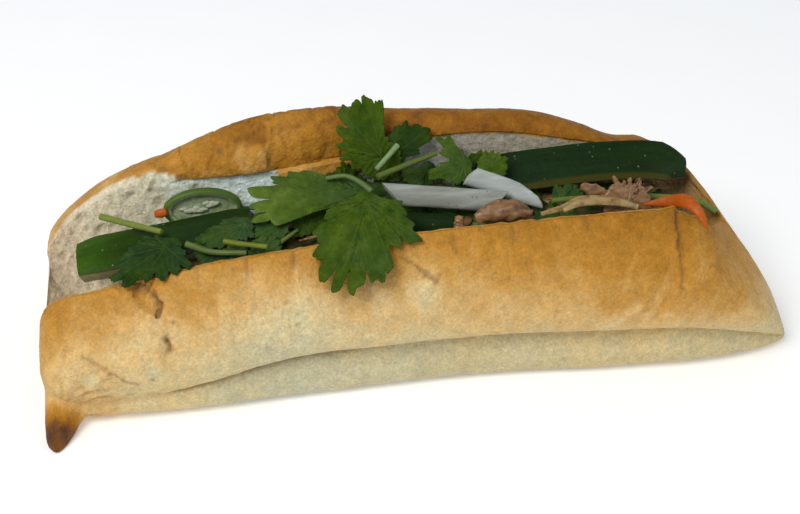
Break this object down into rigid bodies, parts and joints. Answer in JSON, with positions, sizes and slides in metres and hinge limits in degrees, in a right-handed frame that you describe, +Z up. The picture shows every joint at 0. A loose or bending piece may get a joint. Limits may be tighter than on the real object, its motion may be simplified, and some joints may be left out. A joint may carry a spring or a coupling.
{
  "type": "banh mi sandwich",
  "caption": "Short split baguette lying on its base, its top slot filled with chicken, cucumber, pickled radish and carrot, chilli and coriander.",
  "frame": {"origin": "on the surface that the loaf rests on, under the middle of the loaf", "axes": "+X along the loaf to its pointed end, +Y from the low front crust to the high back crust, +Z up"},
  "size_m": [0.2523, 0.0999, 0.0827],
  "materials": {
    "crust": "thin baked crust, golden at the rims and pale straw low down, pale crumb inside",
    "cucumber": "wet dark green skin with pale specks and pale green flesh",
    "daikon": "wet translucent white radish",
    "carrot": "wet orange carrot",
    "chilli": "wet green chilli wall",
    "stem": "smooth green herb stalk",
    "leaf": "fresh coriander leaf with a soft sheen",
    "chicken": "moist cooked chicken and shreds",
    "filling": "moist heap of shredded chicken and herbs"
  },
  "bodies": {
    "root": {"bread": "crust", "cucumber_left": "cucumber", "cucumber_right": "cucumber", "cucumber_low": "cucumber", "daikon_front": "daikon", "daikon_back": "daikon", "carrot_left": "carrot", "carrot_right": "carrot", "chilli_ring": "chilli", "stem_yellow": "stem", "stem_left": "stem", "stem_brown": "stem", "stem_small": "stem", "stem_middle": "stem", "stem_light": "stem", "stem_right": "stem", "stem_curled": "stem", "leaf_top": "leaf", "leaf_top_right": "leaf", "leaf_right": "leaf", "leaf_fringe": "leaf", "leaf_middle": "leaf", "leaf_large": "leaf", "leaf_small": "leaf", "leaf_left": "leaf", "leaf_left_middle": "leaf", "leaf_folded": "leaf", "chicken_left": "chicken", "chicken_middle": "chicken", "chicken_stick": "chicken", "chicken_fan": "chicken", "shred_high": "chicken", "shred_low": "chicken", "filling_bed": "filling"}
  },
  "joints": []
}
